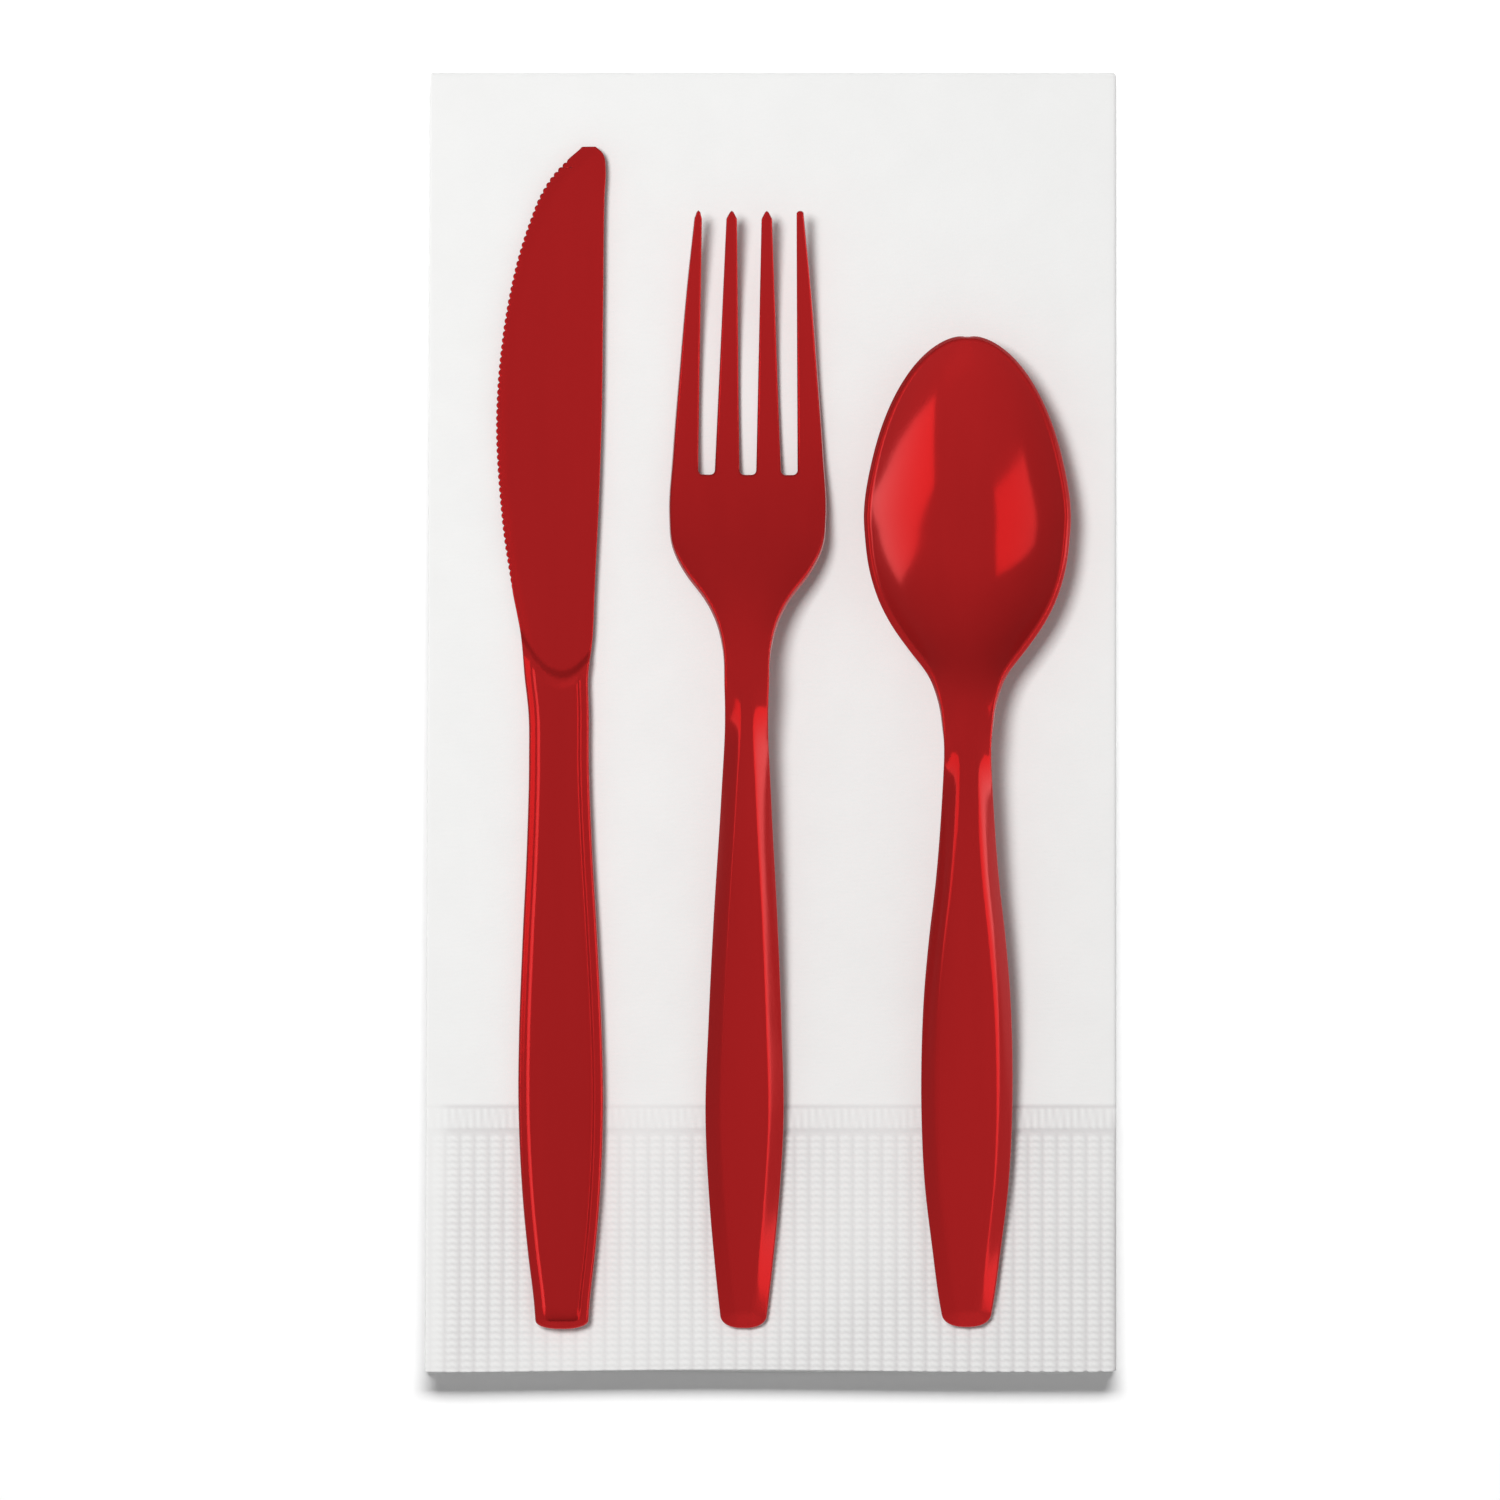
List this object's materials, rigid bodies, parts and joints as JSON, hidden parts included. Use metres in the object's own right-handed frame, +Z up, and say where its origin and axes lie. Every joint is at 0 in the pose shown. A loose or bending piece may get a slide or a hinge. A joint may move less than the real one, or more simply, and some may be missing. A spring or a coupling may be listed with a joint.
{
  "type": "plastic cutlery pack",
  "caption": "Moulded plastic knife, fork and spoon laid side by side on a folded paper napkin, ready for one place setting.",
  "frame": {"origin": "centre of the folded napkin's underside, on the surface it lies on", "axes": "+Y along the cutlery towards the blade tip, the tines and the bowl; +X from the knife to the spoon; +Z up"},
  "size_m": [0.1114, 0.2094, 0.0141],
  "materials": {
    "red_plastic": "glossy moulded polystyrene",
    "napkin_paper": "matt tissue with an embossed band"
  },
  "bodies": {
    "root": {"knife": "red_plastic", "fork": "red_plastic", "spoon": "red_plastic", "napkin": "napkin_paper"}
  },
  "joints": []
}
